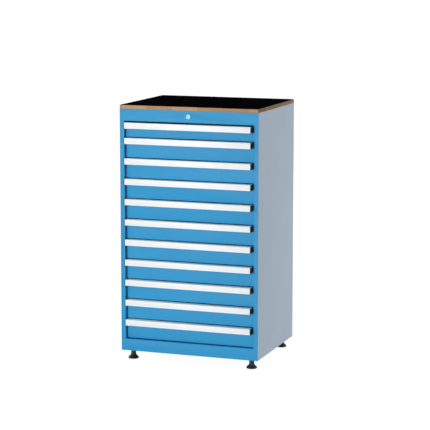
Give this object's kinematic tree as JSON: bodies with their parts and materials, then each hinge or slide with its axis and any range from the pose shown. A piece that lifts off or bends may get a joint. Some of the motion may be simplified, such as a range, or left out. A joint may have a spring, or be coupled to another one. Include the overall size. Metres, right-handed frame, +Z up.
{
  "type": "drawer cabinet",
  "caption": "Tall sheet steel cabinet with a stack of full-width drawers behind a blue frame, a central lock, levelling feet and a wooden worktop with a black mat.",
  "frame": {"origin": "on the floor, at the centre of the footprint that the casing and the handles cover together", "axes": "+Z up, -Y towards the drawer fronts, +X to the right seen from the front"},
  "size_m": [0.71, 0.596, 1.2675],
  "materials": {
    "blue_paint": "satin powder coat",
    "grey_paint": "satin powder coat",
    "handle_aluminium": "pale satin anodised, with black plastic end caps",
    "zinc_steel": "bright zinc plated",
    "lock_chrome": "polished nickel plate",
    "beech_board": "clear varnished beech board",
    "rubber_mat": "matt black",
    "black_plastic": "moulded"
  },
  "bodies": {
    "cabinet": {"front_frame": "blue_paint", "side_panel_left": "grey_paint", "side_panel_right": "grey_paint", "back_panel": "grey_paint", "base_panel": "grey_paint", "roof_panel": "grey_paint", "worktop": "beech_board", "rubber_mat": "rubber_mat", "cabinet_rails": "zinc_steel", "lock_housing": "lock_chrome"},
    "drawer_01": {"drawer_01_box": "grey_paint", "drawer_01_front": "blue_paint", "drawer_01_handle": "handle_aluminium"},
    "drawer_02": {"drawer_02_box": "grey_paint", "drawer_02_front": "blue_paint", "drawer_02_handle": "handle_aluminium"},
    "drawer_03": {"drawer_03_box": "grey_paint", "drawer_03_front": "blue_paint", "drawer_03_handle": "handle_aluminium"},
    "drawer_04": {"drawer_04_box": "grey_paint", "drawer_04_front": "blue_paint", "drawer_04_handle": "handle_aluminium"},
    "drawer_05": {"drawer_05_box": "grey_paint", "drawer_05_front": "blue_paint", "drawer_05_handle": "handle_aluminium"},
    "drawer_06": {"drawer_06_box": "grey_paint", "drawer_06_front": "blue_paint", "drawer_06_handle": "handle_aluminium"},
    "drawer_07": {"drawer_07_box": "grey_paint", "drawer_07_front": "blue_paint", "drawer_07_handle": "handle_aluminium"},
    "drawer_08": {"drawer_08_box": "grey_paint", "drawer_08_front": "blue_paint", "drawer_08_handle": "handle_aluminium"},
    "drawer_09": {"drawer_09_box": "grey_paint", "drawer_09_front": "blue_paint", "drawer_09_handle": "handle_aluminium"},
    "drawer_10": {"drawer_10_box": "grey_paint", "drawer_10_front": "blue_paint", "drawer_10_handle": "handle_aluminium"},
    "drawer_11": {"drawer_11_box": "grey_paint", "drawer_11_front": "blue_paint", "drawer_11_handle": "handle_aluminium"},
    "mid_rails_01": {"mid_rails_01": "zinc_steel"},
    "mid_rails_02": {"mid_rails_02": "zinc_steel"},
    "mid_rails_03": {"mid_rails_03": "zinc_steel"},
    "mid_rails_04": {"mid_rails_04": "zinc_steel"},
    "mid_rails_05": {"mid_rails_05": "zinc_steel"},
    "mid_rails_06": {"mid_rails_06": "zinc_steel"},
    "mid_rails_07": {"mid_rails_07": "zinc_steel"},
    "mid_rails_08": {"mid_rails_08": "zinc_steel"},
    "mid_rails_09": {"mid_rails_09": "zinc_steel"},
    "mid_rails_10": {"mid_rails_10": "zinc_steel"},
    "mid_rails_11": {"mid_rails_11": "zinc_steel"},
    "lock_core": {"lock_barrel": "lock_chrome"},
    "locking_bar": {"locking_bar": "zinc_steel"},
    "foot_front_left": {"foot_front_left": "black_plastic"},
    "foot_front_right": {"foot_front_right": "black_plastic"},
    "foot_rear_left": {"foot_rear_left": "black_plastic"},
    "foot_rear_right": {"foot_rear_right": "black_plastic"}
  },
  "joints": [
    {"name": "drawer_01_slide", "type": "slide", "parent": "cabinet", "child": "drawer_01", "axis": [0, -1, 0], "range_m": [0, 0.45]},
    {"name": "drawer_02_slide", "type": "slide", "parent": "cabinet", "child": "drawer_02", "axis": [0, -1, 0], "range_m": [0, 0.45]},
    {"name": "drawer_03_slide", "type": "slide", "parent": "cabinet", "child": "drawer_03", "axis": [0, -1, 0], "range_m": [0, 0.45]},
    {"name": "drawer_04_slide", "type": "slide", "parent": "cabinet", "child": "drawer_04", "axis": [0, -1, 0], "range_m": [0, 0.45]},
    {"name": "drawer_05_slide", "type": "slide", "parent": "cabinet", "child": "drawer_05", "axis": [0, -1, 0], "range_m": [0, 0.45]},
    {"name": "drawer_06_slide", "type": "slide", "parent": "cabinet", "child": "drawer_06", "axis": [0, -1, 0], "range_m": [0, 0.45]},
    {"name": "drawer_07_slide", "type": "slide", "parent": "cabinet", "child": "drawer_07", "axis": [0, -1, 0], "range_m": [0, 0.45]},
    {"name": "drawer_08_slide", "type": "slide", "parent": "cabinet", "child": "drawer_08", "axis": [0, -1, 0], "range_m": [0, 0.45]},
    {"name": "drawer_09_slide", "type": "slide", "parent": "cabinet", "child": "drawer_09", "axis": [0, -1, 0], "range_m": [0, 0.45]},
    {"name": "drawer_10_slide", "type": "slide", "parent": "cabinet", "child": "drawer_10", "axis": [0, -1, 0], "range_m": [0, 0.45]},
    {"name": "drawer_11_slide", "type": "slide", "parent": "cabinet", "child": "drawer_11", "axis": [0, -1, 0], "range_m": [0, 0.45]},
    {"name": "mid_rails_01_slide", "type": "slide", "parent": "cabinet", "child": "mid_rails_01", "axis": [0, -1, 0], "range_m": [0, 0.225]},
    {"name": "mid_rails_02_slide", "type": "slide", "parent": "cabinet", "child": "mid_rails_02", "axis": [0, -1, 0], "range_m": [0, 0.225]},
    {"name": "mid_rails_03_slide", "type": "slide", "parent": "cabinet", "child": "mid_rails_03", "axis": [0, -1, 0], "range_m": [0, 0.225]},
    {"name": "mid_rails_04_slide", "type": "slide", "parent": "cabinet", "child": "mid_rails_04", "axis": [0, -1, 0], "range_m": [0, 0.225]},
    {"name": "mid_rails_05_slide", "type": "slide", "parent": "cabinet", "child": "mid_rails_05", "axis": [0, -1, 0], "range_m": [0, 0.225]},
    {"name": "mid_rails_06_slide", "type": "slide", "parent": "cabinet", "child": "mid_rails_06", "axis": [0, -1, 0], "range_m": [0, 0.225]},
    {"name": "mid_rails_07_slide", "type": "slide", "parent": "cabinet", "child": "mid_rails_07", "axis": [0, -1, 0], "range_m": [0, 0.225]},
    {"name": "mid_rails_08_slide", "type": "slide", "parent": "cabinet", "child": "mid_rails_08", "axis": [0, -1, 0], "range_m": [0, 0.225]},
    {"name": "mid_rails_09_slide", "type": "slide", "parent": "cabinet", "child": "mid_rails_09", "axis": [0, -1, 0], "range_m": [0, 0.225]},
    {"name": "mid_rails_10_slide", "type": "slide", "parent": "cabinet", "child": "mid_rails_10", "axis": [0, -1, 0], "range_m": [0, 0.225]},
    {"name": "mid_rails_11_slide", "type": "slide", "parent": "cabinet", "child": "mid_rails_11", "axis": [0, -1, 0], "range_m": [0, 0.225]},
    {"name": "lock_turn", "type": "hinge", "parent": "cabinet", "child": "lock_core", "pos_m": [0, -0.272, 1.219], "axis": [0, -1, 0], "range_deg": [0, 90]},
    {"name": "locking_bar_lift", "type": "slide", "parent": "cabinet", "child": "locking_bar", "axis": [0, 0, 1], "range_m": [0, 0.01202]},
    {"name": "foot_front_left_screw", "type": "slide", "parent": "cabinet", "child": "foot_front_left", "axis": [0, 0, -1], "range_m": [0, 0.01]},
    {"name": "foot_front_right_screw", "type": "slide", "parent": "cabinet", "child": "foot_front_right", "axis": [0, 0, -1], "range_m": [0, 0.01]},
    {"name": "foot_rear_left_screw", "type": "slide", "parent": "cabinet", "child": "foot_rear_left", "axis": [0, 0, -1], "range_m": [0, 0.01]},
    {"name": "foot_rear_right_screw", "type": "slide", "parent": "cabinet", "child": "foot_rear_right", "axis": [0, 0, -1], "range_m": [0, 0.01]}
  ],
  "couplings": [
    {"joint": "mid_rails_01_slide", "follows": "drawer_01_slide", "ratio": 0.5},
    {"joint": "mid_rails_02_slide", "follows": "drawer_02_slide", "ratio": 0.5},
    {"joint": "mid_rails_03_slide", "follows": "drawer_03_slide", "ratio": 0.5},
    {"joint": "mid_rails_04_slide", "follows": "drawer_04_slide", "ratio": 0.5},
    {"joint": "mid_rails_05_slide", "follows": "drawer_05_slide", "ratio": 0.5},
    {"joint": "mid_rails_06_slide", "follows": "drawer_06_slide", "ratio": 0.5},
    {"joint": "mid_rails_07_slide", "follows": "drawer_07_slide", "ratio": 0.5},
    {"joint": "mid_rails_08_slide", "follows": "drawer_08_slide", "ratio": 0.5},
    {"joint": "mid_rails_09_slide", "follows": "drawer_09_slide", "ratio": 0.5},
    {"joint": "mid_rails_10_slide", "follows": "drawer_10_slide", "ratio": 0.5},
    {"joint": "mid_rails_11_slide", "follows": "drawer_11_slide", "ratio": 0.5},
    {"joint": "lock_turn", "follows": "locking_bar_lift", "rad_per_m": 130.67}
  ]
}
